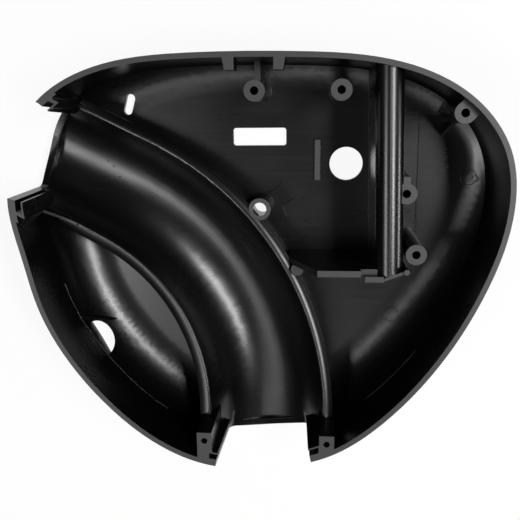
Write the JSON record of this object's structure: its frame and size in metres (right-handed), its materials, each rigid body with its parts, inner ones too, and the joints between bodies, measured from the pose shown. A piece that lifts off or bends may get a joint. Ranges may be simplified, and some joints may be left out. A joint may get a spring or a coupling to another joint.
{
  "type": "moulded half housing",
  "caption": "Moulded plastic half housing, open side up, with a bent pipe channel between two wall mouths and a ribbed panel behind it.",
  "frame": {"origin": "middle of the outline, on the plane the closed side rests on", "axes": "+X along the housing, from the left mouth's side to the ridge's side; +Y towards the panel's back wall; +Z out of the open side"},
  "size_m": [0.221, 0.1889, 0.05],
  "materials": {
    "moulded_black": "satin, as moulded"
  },
  "bodies": {
    "root": {"housing_shell": "moulded_black"}
  },
  "joints": []
}
